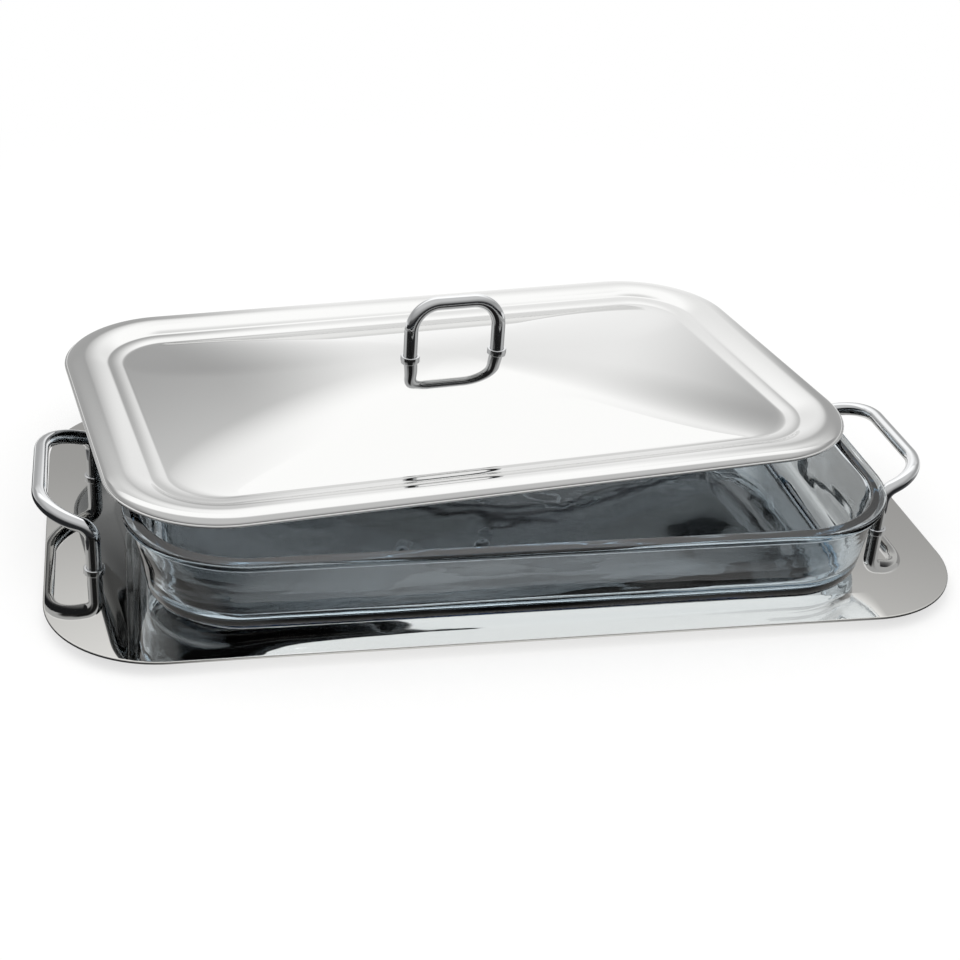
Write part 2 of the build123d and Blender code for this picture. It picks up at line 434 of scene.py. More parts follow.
# %% Glass dish
def rim_profile():
    outer = [(wall_top - SUPPORT, under_rim), (RIM_ROUND + SUPPORT, under_rim)]
    outer += round_edge(under_rim, dish_height, RIM_ROUND)
    flat = [(RIM_ROUND + SUPPORT, dish_height), (RIM_WIDTH - RIM_ROUND - SUPPORT, dish_height)]
    inner = quarter_round(90, RIM_ROUND - RIM_WIDTH, dish_height - RIM_ROUND, RIM_ROUND)
    return outer + flat + [(-reach, z) for reach, z in inner]


def dish_rings():
    joint = (wall_top, RIM_CORNER - wall_top, under_rim)
    outside = dish_wall((BASE_INSET, BASE_CORNER, 0), joint, BASE_ROUND)
    rim = [(inset, RIM_CORNER - inset, z) for inset, z in rim_profile()]
    mouth = (RIM_WIDTH, RIM_CORNER - RIM_WIDTH, dish_height - RIM_ROUND - SUPPORT)
    inside = dish_wall((BASE_INSET + WALL, BASE_CORNER - WALL, FLOOR), mouth, WELL_ROUND)
    return [rounded_ring(dish_half_x - inset, dish_half_y - inset, corner, z)
            for inset, corner, z in outside + rim + inside[::-1]]


to_dish = Matrix.Translation((dish_middle.x, dish_middle.y, dish_low.z))
show_piece("dish_of_pressed_glass", [moved(skinned(dish_rings()), to_dish)], dish_glass, "dish",
           "glass_dish", sharp_degrees=60)

# %% [markdown]
# The lid's steel is buffed on the outside only. Inside, the pressed sheet was just cleaned in acid, which
# leaves it darker and less sharp. Two materials could share the mesh, but then the change would fall on
# one row of faces. Here one material asks which way a face points, and what looks down is duller.

# %% Pressed lid steel
INSIDE_COLOUR = "#808284"
INSIDE_ROUGHNESS = 0.07
LOOKS_DOWN = (-0.1, -0.5)


def dull_inside(material):
    tree = material.node_tree
    shader = tree.nodes["steel"]
    buffed = tuple(shader.inputs["Base Color"].default_value)
    haze = shader.inputs["Roughness"].links[0].from_socket
    normal = add_node(tree, "ShaderNodeNewGeometry").outputs["Normal"]
    facing = add_node(tree, "ShaderNodeSeparateXYZ", {"Vector": normal})
    down = add_node(tree, "ShaderNodeMapRange", {
        "Value": facing.outputs["Z"], "From Min": LOOKS_DOWN[0], "From Max": LOOKS_DOWN[1]})
    tone = add_node(tree, "ShaderNodeMix", {
        "Factor": down, "A": buffed, "B": linear(INSIDE_COLOUR)}, data_type="RGBA")
    dull = add_node(tree, "ShaderNodeMix", {"Factor": down, "A": haze, "B": INSIDE_ROUGHNESS})
    tree.links.new(tone.outputs["Result"], shader.inputs["Base Color"])
    tree.links.new(dull.outputs["Result"], shader.inputs["Roughness"])


# Deep-pressed sheet, buffed by hand: a soft mirror, because the press leaves the skin slightly grained
lid_steel = polished_steel("buffed_pressed_stainless", "#cfcfce", sway_mm=70, sway_depth_mm=0.02,
                           haze_mm=14, haze_low=0.03, haze_high=0.06)
dull_inside(lid_steel)

# %% [markdown]
# The lid is pressed from 0.8 mm sheet. From the outside in it has a rolled bead, a rounded shoulder, a slope
# down to a crease, a slightly crowned ledge that lies on the glass, and a panel that swells up to the handle.
# It could be drawn as one curve and swept round the outline, but the panel grows rounder on its way to the
# middle. So each part has a height of its own, worked out from how far it lies inside the edge.

# %% Lid profile
LID_HALF_X = 209 * MM
LID_HALF_Y = 129 * MM
LID_CORNER = 61 * MM
LID_SHEET = 0.8 * MM
LID_TURN = math.radians(8.2)
SHOULDER_INSET = 11 * MM
SHOULDER_HEIGHT = 5.2 * MM
CREASE_INSET = 24 * MM
CREASE_HEIGHT = 0.8 * MM
SLOPE_CROWN = 0.7 * MM
VALLEY_INSET = 33 * MM
VALLEY_HEIGHT = -0.6 * MM
LEDGE_CROWN = 0.45 * MM
DOME_RISE = 22 * MM
DOME_SOFTNESS = 0.4
DOME_CENTRE_ROUNDNESS = 0.92

panel_half_x = LID_HALF_X - VALLEY_INSET
panel_half_y = LID_HALF_Y - VALLEY_INSET
panel_corner = LID_CORNER - VALLEY_INSET


def lid_ring(inset, z):
    return rounded_ring(LID_HALF_X - inset, LID_HALF_Y - inset, LID_CORNER - inset, z)


def crowned(inset, outer, inner, outer_z, inner_z, crown):
    # A straight run between two insets, raised in its middle by the crown
    part = (inset - outer) / (inner - outer)
    return outer_z + (inner_z - outer_z) * part + 4 * crown * part * (1 - part)


def slope_height(inset):
    return crowned(inset, SHOULDER_INSET, CREASE_INSET, SHOULDER_HEIGHT, CREASE_HEIGHT, SLOPE_CROWN)


def ledge_height(inset):
    return crowned(inset, CREASE_INSET, VALLEY_INSET, CREASE_HEIGHT, VALLEY_HEIGHT, LEDGE_CROWN)


def dome_height(share):
    # Height of the panel where it has shrunk to this share of its size
    fall = math.hypot(share, DOME_SOFTNESS) - DOME_SOFTNESS
    whole_fall = math.hypot(1, DOME_SOFTNESS) - DOME_SOFTNESS
    return VALLEY_HEIGHT + DOME_RISE * (1 - fall / whole_fall)


def panel_ring(share, drop):
    edge = panel_corner / panel_half_y
    roundness = edge + (DOME_CENTRE_ROUNDNESS - edge) * math.sqrt(1 - share)
    corner = roundness * panel_half_y * share
    return rounded_ring(panel_half_x * share, panel_half_y * share, corner, dome_height(share) - drop)


print("panel", round(2 * panel_half_x / MM), "by", round(2 * panel_half_y / MM), "mm")

# %% [markdown]
# The edge of the lid is rolled into a small bead, so that it doesn't cut, and the shoulder rises out of it.
# The shoulder is a quarter of a full oval: steep at the bead and nearly level on top. A plain arc would be
# simpler, but its reflection is too even. The rings crowd together at the bead, where the sheet bends most.

# %% Shoulder and bead
BEAD = 0.85 * MM
BEAD_STEPS = 32
SHOULDER_FULLNESS = 2.25
SHOULDER_STEPS = 28
SHOULDER_CROWDING = 1.5
SEARCH_STEPS = 9000


def shoulder_place(angle, drop):
    power = 2 / SHOULDER_FULLNESS
    out = max(math.cos(angle), 0) ** power
    up = math.sin(angle) ** power
    inset = SHOULDER_INSET - (SHOULDER_INSET - BEAD - drop) * out
    return inset, BEAD + (SHOULDER_HEIGHT - BEAD) * up - drop


def leaves_bead(drop):
    # The angle at which the shoulder comes out of the round bead
    for step in range(SEARCH_STEPS):
        angle = math.radians(90 * step / SEARCH_STEPS)
        inset, z = shoulder_place(angle, drop)
        if math.hypot(inset - BEAD, z - BEAD) > BEAD:
            return angle


def shoulder_rings(drop):
    start = leaves_bead(drop)
    parts = [(step / SHOULDER_STEPS) ** SHOULDER_CROWDING for step in range(SHOULDER_STEPS + 1)]
    return [lid_ring(*shoulder_place(start + (math.pi / 2 - start) * part, drop)) for part in parts]


def bead_rings():
    under_inset, under_z = shoulder_place(leaves_bead(LID_SHEET), LID_SHEET)
    over_inset, over_z = shoulder_place(leaves_bead(0), 0)
    first = math.atan2(under_z - BEAD, BEAD - under_inset) - 2 * math.pi
    last = math.atan2(over_z - BEAD, BEAD - over_inset)
    turns = [first + (last - first) * step / BEAD_STEPS for step in range(1, BEAD_STEPS)]
    return [lid_ring(BEAD - BEAD * math.cos(angle), BEAD + BEAD * math.sin(angle)) for angle in turns]


print("the shoulder leaves the bead at", round(math.degrees(leaves_bead(0)), 1), "degrees")

# %% [markdown]
# Now the whole skin: shoulder, slope, crease, ledge, valley and panel, once for the outside and once lowered
# by the sheet for the inside, with the bead between them. The crease and the valley are soft, as a press
# leaves them. A bevel modifier could soften them, but it would also find every other edge of the lid.

# %% Lid shell
SOFT_REACH = 1.0 * MM
SOFT_STEPS = 6
SLOPE_STEPS = 10
LEDGE_STEPS = 8
DOME_STEPS = 60


def bend_rings(before, corner, after):
    # A soft corner between two skins: each point follows a parabola from one ring to the other
    rings = []
    for step in range(1, SOFT_STEPS + 1):
        t = step / SOFT_STEPS
        weights = ((1 - t) ** 2, 2 * t * (1 - t), t ** 2)
        rings.append([a * weights[0] + b * weights[1] + c * weights[2]
                      for a, b, c in zip(before, corner, after)])
    return rings


def run_of_rings(start, end, steps, height, drop):
    insets = [start + (end - start) * step / steps for step in range(1, steps + 1)]
    return [lid_ring(inset, height(inset) - drop) for inset in insets]


def lid_skin(drop):
    rings = shoulder_rings(drop)
    rings += run_of_rings(SHOULDER_INSET, CREASE_INSET - SOFT_REACH, SLOPE_STEPS, slope_height, drop)
    ledge_start = CREASE_INSET + SOFT_REACH
    after_crease = lid_ring(ledge_start, ledge_height(ledge_start) - drop)
    rings += bend_rings(rings[-1], lid_ring(CREASE_INSET, CREASE_HEIGHT - drop), after_crease)
    rings += run_of_rings(ledge_start, VALLEY_INSET - SOFT_REACH, LEDGE_STEPS, ledge_height, drop)
    first_share = 1 - SOFT_REACH / panel_half_y
    valley = lid_ring(VALLEY_INSET, VALLEY_HEIGHT - drop)
    rings += bend_rings(rings[-1], valley, panel_ring(first_share, drop))
    shares = [first_share * (1 - step / DOME_STEPS) for step in range(1, DOME_STEPS)]
    return rings + [panel_ring(share, drop) for share in shares]


lid_base = lid_low.z + LID_SHEET - VALLEY_HEIGHT
to_lid = Matrix.Translation((lid_middle.x, lid_middle.y, lid_base)) @ Matrix.Rotation(LID_TURN, 4, "Z")
lid_rings = lid_skin(LID_SHEET)[::-1] + bead_rings() + lid_skin(0)
show_piece("lid_of_pressed_steel", [moved(skinned(lid_rings), to_lid)], lid_steel, "lid",
           "lid_shell", sharp_degrees=35)

# %% [markdown]
# The handles are 8 mm rods bent cold round a former, so each is straight runs joined by true arcs. A curve
# object with a round bevel is the usual way, but its corners aren't true arcs. Here the path is worked out
# from its corner points and bend radii, and a circle travels along it without twisting.

# %% Bent rods
ROD = 8 * MM
ROD_SIDES = 32
BEND_STEPS = 16


def bent_path(corners, bends):
    path = [corners[0]]
    for before, corner, after, bend in zip(corners, corners[1:], corners[2:], bends):
        back = (before - corner).normalized()
        ahead = (after - corner).normalized()
        half = back.angle(ahead) / 2
        centre = corner + (back + ahead).normalized() * bend / math.sin(half)
        arm = corner + back * bend / math.tan(half) - centre
        axis = back.cross(ahead)
        for step in range(BEND_STEPS + 1):
            turn = -(math.pi - 2 * half) * step / BEND_STEPS
            path.append(centre + Quaternion(axis, turn) @ arm)
    return path + [corners[-1]]


def rod_rings(path):
    ahead = [(b - a).normalized() for a, b in zip(path, path[1:])]
    tangents = [ahead[0]] + [(a + b).normalized() for a, b in zip(ahead, ahead[1:])] + [ahead[-1]]
    side = tangents[0].orthogonal().normalized()
    turns = [2 * math.pi * k / ROD_SIDES for k in range(ROD_SIDES)]
    rings = []
    for k, (place, tangent) in enumerate(zip(path, tangents)):
        if k:
            side = tangents[k - 1].rotation_difference(tangent) @ side
        other = tangent.cross(side)
        rings.append([place + (side * math.cos(a) + other * math.sin(a)) * ROD / 2 for a in turns])
    return rings


print("a rod has", ROD_SIDES, "sides, and each bend", BEND_STEPS + 1, "rings")

# %% [markdown]
# Each tray handle is one rod with four bends. Two short legs stand on the tray, and the grip leans out
# and up from them, narrower at its outer end. One function gives the corners, and the side of the tray
# mirrors them. A mirror modifier would do it too, but both handles have to be pieces of their own.

# %% Tray handles
GRIP_SPACING = 100 * MM
GRIP_LEG = 24 * MM
GRIP_RISE = 8.5 * MM
GRIP_TAPER = 8 * MM
GRIP_LEG_BEND = 8 * MM
GRIP_CORNER_BEND = 26 * MM
GRIP_REACH = 26 * MM
grip_foot_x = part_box("tray_handle_right")[1].x - ROD / 2 - GRIP_REACH


def grip_corners(side):
    foot = side * grip_foot_x
    tip = side * (grip_foot_x + GRIP_REACH)
    front = tray_middle.y - GRIP_SPACING / 2
    back = tray_middle.y + GRIP_SPACING / 2
    bend = tray_top + GRIP_LEG
    places = [(foot, front, tray_top), (foot, front, bend), (tip, front + GRIP_TAPER, bend + GRIP_RISE),
              (tip, back - GRIP_TAPER, bend + GRIP_RISE), (foot, back, bend), (foot, back, tray_top)]
    return [Vector(place) for place in places]


grip_bends = [GRIP_LEG_BEND, GRIP_CORNER_BEND, GRIP_CORNER_BEND, GRIP_LEG_BEND]
for side, word in ((-1, "left"), (1, "right")):
    rings = rod_rings(bent_path(grip_corners(side), grip_bends))
    show_piece("rod_handle_" + word, [skinned(rings)], rod_steel, "tray",
               "tray_handle_" + word)

# %% [markdown]
# The lid's handle is the same rod as an upright U over the middle of the panel. Its feet end where the dome
# is highest under them, so the rod doesn't cut into the sheet, and a collar covers the gap that is left on
# the outer side. It could be modelled askew, as the lid lies. It is made in the lid's own place and turned
# with the lid, which keeps its numbers simple.

# %% Lid handle
KNOB_SPACING = 52 * MM
KNOB_HEIGHT = 31.5 * MM
KNOB_BEND = 16 * MM
knob_foot = dome_height((KNOB_SPACING / 2 - ROD / 2) / panel_half_x)
knob_top = dome_height(0) + KNOB_HEIGHT
knob_corners = [Vector((x * KNOB_SPACING / 2, 0, z))
                for x, z in ((-1, knob_foot), (-1, knob_top), (1, knob_top), (1, knob_foot))]
knob_rings = rod_rings(bent_path(knob_corners, [KNOB_BEND, KNOB_BEND]))
show_piece("rod_handle_of_lid", [moved(skinned(knob_rings), to_lid)], rod_steel, "lid",
           "lid_handle")

# %% [markdown]
# A small turned collar hides the joint at the foot of each rod. Its outer edge is rounded, which draws one
# bright ring round the foot. On the lid the collars reach down into the slope of the panel. Blender's spin
# tool turns a profile in the same way; worked-out rings need no selection or mode.

# %% Collars
TURNED_SIDES = 48
COLLAR = 11 * MM
COLLAR_HEIGHT = 1.8 * MM
COLLAR_ROUND = 0.5 * MM
COLLAR_CLEARANCE = 0.1 * MM


def turned(profile):
    # Rings of a lathe-turned shape from (radius, height) pairs
    turns = [2 * math.pi * side / TURNED_SIDES for side in range(TURNED_SIDES)]
    return [[Vector((r * math.cos(a), r * math.sin(a), z)) for a in turns] for r, z in profile]


def collar_rings(bottom, top):
    inner = ROD / 2 + COLLAR_CLEARANCE
    outer = COLLAR / 2
    edge = quarter_round(0, outer - COLLAR_ROUND, top - COLLAR_ROUND, COLLAR_ROUND)
    return turned([(inner, bottom), (outer, bottom)] + edge + [(inner, top)])


grip_feet = [(side * grip_foot_x, tray_middle.y + end * GRIP_SPACING / 2)
             for side in (-1, 1) for end in (-1, 1)]
ring_on_tray = skinned(collar_rings(0, COLLAR_HEIGHT), closed=True)
tray_collars = [moved(ring_on_tray, Matrix.Translation((x, y, tray_top))) for x, y in grip_feet]
show_piece("collars_of_tray_handles", tray_collars, rod_steel, "tray",
           "tray_handle_collars")

knob_feet = [-KNOB_SPACING / 2, KNOB_SPACING / 2]
collar_low = dome_height((KNOB_SPACING + COLLAR) / 2 / panel_half_x) - LID_SHEET / 2
ring_on_lid = skinned(collar_rings(collar_low, knob_foot + COLLAR_HEIGHT), closed=True)
lid_collars = [moved(ring_on_lid, to_lid @ Matrix.Translation((x, 0, 0))) for x in knob_feet]
show_piece("collars_of_lid_handle", lid_collars, rod_steel, "lid", "lid_handle_collars")

# %% [markdown]
# Zinc plating covers the hidden screws and washers: a bluish metal with a soft, slightly cloudy shine,
# because the plating grows in small crystals. One noise drives tone, roughness and grain, so that all three
# change at the same places. Separate noises would look like dirt. Real crystals are finer than the 1.5 mm
# used here: they are drawn this coarse so that they show.

# %% Bright zinc plating
def grained(name, colour, colour_deep, metallic, rough_low, rough_high, grain_mm, grain_depth_mm):
    material, tree = new_material(name)
    place = add_node(tree, "ShaderNodeTexCoord").outputs["Object"]
    grain = add_node(tree, "ShaderNodeTexNoise", {
        "Vector": place, "Scale": per_metre(grain_mm), "Detail": 5.0})
    tone = add_node(tree, "ShaderNodeMix", {
        "Factor": grain, "A": linear(colour), "B": linear(colour_deep)}, data_type="RGBA")
    roughness = add_node(tree, "ShaderNodeMapRange", {
        "Value": grain, "To Min": rough_low, "To Max": rough_high})
    bump = add_node(tree, "ShaderNodeBump", {
        "Height": grain, "Strength": 1.0, "Distance": grain_depth_mm * MM})
    shader = add_node(tree, "ShaderNodeBsdfPrincipled", {
        "Base Color": tone, "Metallic": metallic, "Roughness": roughness, "Normal": bump})
    add_node(tree, "ShaderNodeOutputMaterial", {"Surface": shader})
    print("material:", name)
    return material


# Steel with zinc from a bath: a dull, bluish shine with soft edges
zinc_plate = grained("bright_zinc_plating", "#c3c7cc", "#aeb2b8", metallic=1.0, rough_low=0.22,
                     rough_high=0.4, grain_mm=1.5, grain_depth_mm=0.004)

# %% [markdown]
# The rods are held by screws from the hidden side: pan heads with a hexagon socket over plain washers. The
# socket could be cut with a boolean, which leaves long thin faces. Here the rings of the turned head pass
# from a hexagon to a circle with the same number of points.

# %% Screws and washers
SCREW = 4 * MM
SCREW_GRIP = 10 * MM
HEAD = 7.6 * MM
HEAD_HEIGHT = 2.2 * MM
HEAD_ROUND = 0.8 * MM
SOCKET = 2.5 * MM
SOCKET_DEPTH = 1.3 * MM
WASHER = 9 * MM
WASHER_THICKNESS = 0.8 * MM
WASHER_ROUND = 0.15 * MM


def hexagon(across, z):
    ring = []
    for k in range(TURNED_SIDES):
        angle = 2 * math.pi * k / TURNED_SIDES
        corner_turn = (angle + math.pi / 6) % (math.pi / 3) - math.pi / 6
        reach = across / 2 / math.cos(corner_turn)
        ring.append(Vector((reach * math.cos(angle), reach * math.sin(angle), z)))
    return ring


def screw_rings(clamped):
    # From the floor of the socket, round the head and up the shank; the washer's top is at zero
    under = -WASHER_THICKNESS
    face = under - HEAD_HEIGHT
    socket = ((SOCKET, face + SOCKET_DEPTH), (SOCKET, face), (SOCKET + 2 * WASHER_ROUND, face))
    edge = quarter_round(-90, HEAD / 2 - HEAD_ROUND, face + HEAD_ROUND, HEAD_ROUND)
    shank = [(HEAD / 2, under), (SCREW / 2, under), (SCREW / 2, clamped + SCREW_GRIP)]
    return [hexagon(across, z) for across, z in socket] + turned(edge + shank)


def washer_rings():
    inner = SCREW / 2 + COLLAR_CLEARANCE
    outer = WASHER / 2
    r = WASHER_ROUND
    profile = [(inner, 0), (outer - r, 0), (outer, -r), (outer, r - WASHER_THICKNESS),
               (outer - r, -WASHER_THICKNESS), (inner, -WASHER_THICKNESS)]
    return turned(profile)


tray_seats = [Matrix.Translation((x, y, tray_low.z)) for x, y in grip_feet]
washer_top = dome_height((KNOB_SPACING + WASHER) / 2 / panel_half_x) - LID_SHEET
lid_seats = [to_lid @ Matrix.Translation((x, 0, washer_top)) for x in knob_feet]
washer = skinned(washer_rings(), closed=True)
clamps = {"tray": (tray_seats, tray_high.z - tray_low.z), "lid": (lid_seats, knob_foot - washer_top)}
for body, (seats, clamped) in clamps.items():
    for kind, shell in (("washers", washer), ("screws", skinned(screw_rings(clamped)))):
        placed = [moved(shell, seat) for seat in seats]
        show_piece(kind + "_of_" + body, placed, zinc_plate, body,
                   body + "_handle_" + kind, sharp_degrees=30)

# %% [markdown]
# Four moulded rubber feet lift the tray, so that the screw heads clear the table and fingers get under its
# edge. The rubber is black, matt and slightly grainy, because its mould was spark-eroded. A plain black
# would read as a hole, so the same grained finish as above gives it a little tone and breaks its shine.

# %% Rubber feet
FOOT_TOP = 20 * MM
FOOT_BOTTOM = 15 * MM
FOOT_ROUND = 1.2 * MM
FOOT_FROM_END = 62 * MM
FOOT_FROM_SIDE = 36 * MM

# Rubber from a spark-eroded mould: near black, with a weak shine that is broken up
foot_rubber = grained("moulded_black_rubber", "#232324", "#151516", metallic=0.0, rough_low=0.65,
                      rough_high=0.9, grain_mm=0.8, grain_depth_mm=0.03)
foot_profile = quarter_round(-90, FOOT_BOTTOM / 2 - FOOT_ROUND, FOOT_ROUND, FOOT_ROUND)
foot = skinned(turned(foot_profile + [(FOOT_TOP / 2, tray_low.z)]))
foot_x = tray_high.x - tray_middle.x - FOOT_FROM_END
foot_y = tray_high.y - tray_middle.y - FOOT_FROM_SIDE
feet = [moved(foot, Matrix.Translation((i * foot_x, tray_middle.y + j * foot_y, 0)))
        for i in (-1, 1) for j in (-1, 1)]
show_piece("feet_of_tray", feet, foot_rubber, "tray", "tray_feet", sharp_degrees=50)

# %% [markdown]
# The camera was found from the outlines in the picture: a short telephoto about a metre away, above the
# front left corner and rolled a few degrees. It could be aimed with a constraint, but the roll is easier
# to hold when its three axes are worked out from the angles.

# %% Camera
VIEW_AZIMUTH = math.radians(-13.25)
VIEW_ELEVATION = math.radians(28.42)
VIEW_ROLL = math.radians(3.93)
VIEW_DISTANCE = 973.2 * MM
VIEW_TARGET = Vector((2.43, -5.24, 7.5)) * MM
LENS_MM = 63.2

away = Vector((math.sin(VIEW_AZIMUTH) * math.cos(VIEW_ELEVATION),
               -math.cos(VIEW_AZIMUTH) * math.cos(VIEW_ELEVATION), math.sin(VIEW_ELEVATION)))
level_front = Vector((away.x, away.y, 0)).normalized()
level_right = Vector((0, 0, 1)).cross(away).normalized()
level_up = away.cross(level_right)
roll = Quaternion(away, VIEW_ROLL)
axes = Matrix((roll @ level_right, roll @ level_up, away)).transposed()
camera_data = bpy.data.cameras.new("camera")
camera_data.lens = LENS_MM
camera = bpy.data.objects.new("camera", camera_data)
camera.matrix_world = Matrix.Translation(VIEW_TARGET + away * VIEW_DISTANCE) @ axes.to_4x4()
bpy.context.scene.collection.objects.link(camera)
bpy.context.scene.camera = camera
print("camera at", [round(v, 3) for v in camera.location])

# %% [markdown]
# Light Path tells a material or the world what kind of ray is asking. A real studio has no such trick: there
# the paper is lit until it is white, and cards are moved until the metal looks right. Here rays that bounced
# off metal or glass are told from all others, so what they meet can be changed without changing the rest.

# %% Mirrored rays
def mirrored_rays(tree):
    # One after a bounce off metal or glass; nought for the camera, soft light and a look straight through
    path = add_node(tree, "ShaderNodeLightPath")
    shiny = add_node(tree, "ShaderNodeMath", {
        0: path.outputs["Is Glossy Ray"], 1: path.outputs["Is Transmission Ray"]}, operation="MAXIMUM")
    return add_node(tree, "ShaderNodeMath", {0: shiny, 1: path.outputs["Glossy Depth"]}, operation="MINIMUM")


print("mirrored: glossy or transmitted, after one glossy bounce or more")

# %% [markdown]
# The floor is a plain pale sheet, wide enough to meet the white background. Far from the object it turns
# into plain white, so that no horizon shows. Near the object it is partly matt and keeps a soft shadow. On
# a photo table the paper can end just in front of the object, and polished steel then shows the dark room
# past its end. So mirrored rays, and no others, see it end there. A straight look through the glass still
# finds white paper.

# %% Paper for the floor
# Name: (measure, start, end, before, after), where far and ahead are metres from the middle of the object
FLOOR_RAMPS = {
    "whiteness": ("far", 0.32, 0.75, 0.62, 1.0),
    "paper_end": ("far", 0.21, 0.273, 0.0, 1.0),
    "front": ("ahead", -0.15, 0.05, 0.0, 1.0),
}


def floor_material():
    material, tree = new_material("matt_white_paper")
    place = add_node(tree, "ShaderNodeTexCoord").outputs["Object"]
    measures = {
        "far": add_node(tree, "ShaderNodeVectorMath", {0: place}, operation="LENGTH"),
        "ahead": add_node(tree, "ShaderNodeVectorMath", {0: place, 1: level_front}, operation="DOT_PRODUCT")}
    ramps = {}
    for name, (measure, start, end, before, after) in FLOOR_RAMPS.items():
        ramps[name] = add_node(tree, "ShaderNodeMapRange", {
            "Value": measures[measure], "From Min": start, "From Max": end,
            "To Min": before, "To Max": after},
            interpolation_type="SMOOTHSTEP")
    matt = add_node(tree, "ShaderNodeBsdfDiffuse", {"Color": linear("#fbfbfa")})
    white = add_node(tree, "ShaderNodeEmission", {"Color": linear("#ffffff"), "Strength": 1.0})
    dark = add_node(tree, "ShaderNodeEmission", {"Color": linear("#2c2d2f"), "Strength": 1.0})
    paper = add_node(tree, "ShaderNodeMixShader", {0: ramps["whiteness"], 1: matt, 2: white})
    ended = mirrored_rays(tree)
    for name in ("paper_end", "front"):
        ended = add_node(tree, "ShaderNodeMath", {0: ended, 1: ramps[name]}, operation="MULTIPLY")
    seen = add_node(tree, "ShaderNodeMixShader", {0: ended, 1: paper, 2: dark})
    add_node(tree, "ShaderNodeOutputMaterial", {"Surface": seen})
    return material


# Matt paper: an even white without shine, which takes a soft shadow
floor_paper = floor_material()
print("material:", floor_paper.name)

# %% [markdown]
# The sheet itself is one square face. A plane from the menu would do, but the same small function also makes
# the backdrop.

# %% Floor
FLOOR_HALF = 3.0


def flat_sheet(name, corners, material):
    mesh = bpy.data.meshes.new(name)
    mesh.from_pydata(corners, [], [(0, 1, 2, 3)])
    mesh.materials.append(material)
    sheet = bpy.data.objects.new(name, mesh)
    bpy.context.scene.collection.objects.link(sheet)
    return sheet


floor_corners = [(x * FLOOR_HALF, y * FLOOR_HALF, 0) for x, y in ((-1, -1), (1, -1), (1, 1), (-1, 1))]
floor = flat_sheet("floor", floor_corners, floor_paper)
print("floor", 2 * FLOOR_HALF, "m wide")

# %% [markdown]
# Mirror metal and glass are drawn by what stands around them, so the studio matters more than the lamps.
# The world is white for the camera and for soft light. Mirrored rays meet a simple studio instead: a pale
# ceiling with a bright panel in it, above and behind the object, which fades to the right, and grey walls
# that are dark in front, near the floor. A reflection of a reflection meets a far room, dark in front, with
# the camera in it, and that gives the rods their black cores. A photographed room is the usual way, but
# a few ramps need no file and are easier to steer.

# %% Levels of the studio
# A level of 1 is white paper
CEILING_LEVEL = 0.8
WALL_LEVEL = 0.45
CAMERA_LEVEL = 0.02
PANEL_LEVEL = 1.55
# Name: (direction, start, end, before, after), where start and end are shares of a ray's direction
STUDIO_RAMPS = {
    "ceiling": ("up", 0.3, 0.85, 0.0, 1.0),
    "wall": ("up", 0.06, 0.34, 0.0, 1.0),
    "skirting": ("front", 0.1, 0.6, 0.52, 0.09),
    "far_wall": ("front", 0.2, 0.5, 0.85, 0.03),
    "camera": ("camera", 0.8, 0.93, 0.0, 1.0),
    "panel_above": ("up", 0.42, 0.75, 0.0, 1.0),
    "panel_behind": ("front", -0.38, -0.2, 1.0, 0.0),
    "panel_right": ("right", 0.25, 0.75, 1.0, 0.4),
}
print("panel", round(PANEL_LEVEL / CEILING_LEVEL, 1), "times as bright as the ceiling")

# %% [markdown]
# Blender counts each bounce of a ray. Where a ray reaches the world, the first reflection has a depth of 2,
# so a limit of 2.5 parts what the object mirrors from what its mirror images mirror.

# %% Studio world
FIRST_REFLECTION = 2.5


def studio_ramps(tree):
    way = add_node(tree, "ShaderNodeTexCoord").outputs["Generated"]
    directions = {"up": (0, 0, 1), "front": level_front, "right": level_right, "camera": away}
    shares = {name: add_node(tree, "ShaderNodeVectorMath", {0: way, 1: axis}, operation="DOT_PRODUCT")
              for name, axis in directions.items()}
    ramps = {}
    for name, (direction, start, end, before, after) in STUDIO_RAMPS.items():
        ramps[name] = add_node(tree, "ShaderNodeMapRange", {
            "Value": shares[direction], "From Min": start, "From Max": end,
            "To Min": before, "To Max": after},
            interpolation_type="SMOOTHSTEP")
    return ramps


def studio_level(tree):
    ramps = studio_ramps(tree)
    wall = add_node(tree, "ShaderNodeMix", {"Factor": ramps["wall"], "A": ramps["skirting"], "B": WALL_LEVEL})
    near_room = add_node(tree, "ShaderNodeMix", {"Factor": ramps["ceiling"], "A": wall, "B": CEILING_LEVEL})
    far_room = add_node(tree, "ShaderNodeMix", {
        "Factor": ramps["ceiling"], "A": ramps["far_wall"], "B": CEILING_LEVEL})
    far_room = add_node(tree, "ShaderNodeMix", {"Factor": ramps["camera"], "A": far_room, "B": CAMERA_LEVEL})
    depth = add_node(tree, "ShaderNodeLightPath").outputs["Ray Depth"]
    later = add_node(tree, "ShaderNodeMath", {0: depth, 1: FIRST_REFLECTION}, operation="GREATER_THAN")
    room = add_node(tree, "ShaderNodeMix", {"Factor": later, "A": near_room, "B": far_room})
    panel = ramps["panel_above"]
    for name in ("panel_behind", "panel_right"):
        panel = add_node(tree, "ShaderNodeMath", {0: panel, 1: ramps[name]}, operation="MULTIPLY")
    return add_node(tree, "ShaderNodeMix", {"Factor": panel, "A": room, "B": PANEL_LEVEL})


world = bpy.data.worlds.new("studio")
world.use_nodes = True
sky = world.node_tree
sky.nodes.clear()
level = add_node(sky, "ShaderNodeMix", {"Factor": mirrored_rays(sky), "A": 1.0, "B": studio_level(sky)})
light = add_node(sky, "ShaderNodeBackground", {"Color": linear("#ffffff"), "Strength": level})
add_node(sky, "ShaderNodeOutputWorld", {"Surface": light})
bpy.context.scene.world = world
print("studio of", len(sky.nodes), "nodes")

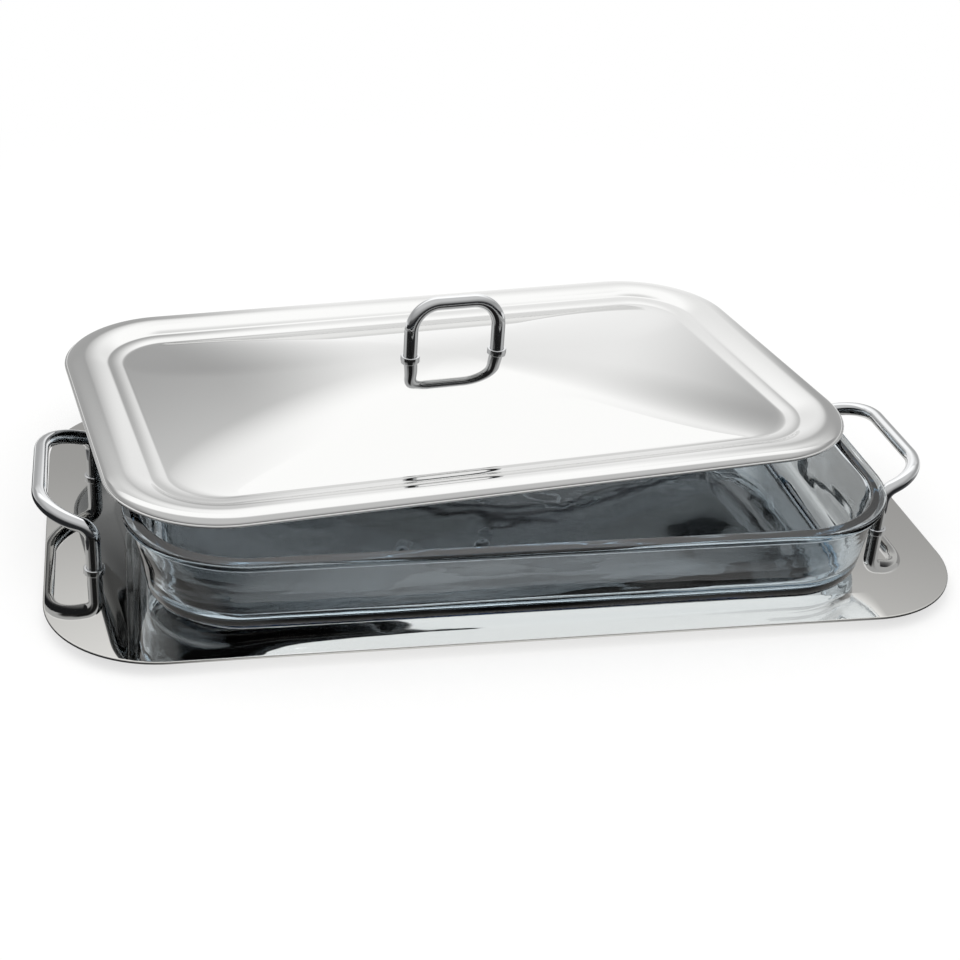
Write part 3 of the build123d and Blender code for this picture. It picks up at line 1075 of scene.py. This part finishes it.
# %% [markdown]
# A paper backdrop stands a little over half a metre behind the object. A pool of light lies in its middle,
# and its upper part is bright and fades to both ends. Only mirrors and glass see it. More ramps in the world
# could draw it, but the world is endlessly far away. A card that stands near gives the two ends of the object
# its darker sides.

# %% Backdrop
CARD_BEHIND = 0.58
CARD_HALF = 1.0
CARD_TOP = 0.85
POOL_MIDDLE = 0.01
# Name: (measure, start, end, before, after), in metres along the card and up it
CARD_RAMPS = {
    "pool": ("aside", 0.15, 0.36, 1.2, 0.53),
    "upper": ("height", 0.3, 0.66, 0.0, 1.0),
    "overhead": ("aside", 0.15, 0.65, PANEL_LEVEL, 0.95),
}


def backdrop_material():
    material, tree = new_material("paper_backdrop")
    place = add_node(tree, "ShaderNodeTexCoord").outputs["Object"]
    split = add_node(tree, "ShaderNodeSeparateXYZ", {"Vector": place})
    aside = split.outputs["X"]
    for operation, number in (("SUBTRACT", POOL_MIDDLE), ("ABSOLUTE", 0.0)):
        aside = add_node(tree, "ShaderNodeMath", {0: aside, 1: number}, operation=operation)
    measures = {"aside": aside, "height": split.outputs["Z"]}
    ramps = {}
    for name, (measure, start, end, before, after) in CARD_RAMPS.items():
        ramps[name] = add_node(tree, "ShaderNodeMapRange", {
            "Value": measures[measure], "From Min": start, "From Max": end,
            "To Min": before, "To Max": after},
            interpolation_type="SMOOTHSTEP")
    level = add_node(tree, "ShaderNodeMix", {
        "Factor": ramps["upper"], "A": ramps["pool"], "B": ramps["overhead"]})
    glow = add_node(tree, "ShaderNodeEmission", {"Color": linear("#ffffff"), "Strength": level})
    add_node(tree, "ShaderNodeOutputMaterial", {"Surface": glow})
    return material


card_corners = [(-CARD_HALF, 0, 0), (CARD_HALF, 0, 0), (CARD_HALF, 0, CARD_TOP), (-CARD_HALF, 0, CARD_TOP)]
card = flat_sheet("backdrop", card_corners, backdrop_material())
card.location = level_front * -CARD_BEHIND
card.rotation_euler = (0, 0, VIEW_AZIMUTH)
card.visible_camera = False
card.visible_diffuse = False
card.visible_shadow = False
print("backdrop", CARD_BEHIND, "m behind the object")

# %% [markdown]
# One large soft lamp above gives the shadow on the floor its direction. A sun would give a harder edge than
# a studio does. The lamp is kept out of reflections, because the bright panel already stands for it there.

# %% Lamp
LAMP_SIZE = 1.2
LAMP_WATTS = 4
LAMP_PLACE = Vector((-0.3, 0.2, 1.4))

lamp_data = bpy.data.lights.new("soft_lamp", "AREA")
lamp_data.size = LAMP_SIZE
lamp_data.energy = LAMP_WATTS
lamp = bpy.data.objects.new("soft_lamp", lamp_data)
lamp.location = LAMP_PLACE
lamp.rotation_euler = (-LAMP_PLACE).to_track_quat("-Z", "Y").to_euler()
lamp.visible_glossy = False
bpy.context.scene.collection.objects.link(lamp)
bpy.context.scene.view_settings.view_transform = "Standard"
print("lamp of", LAMP_WATTS, "W")
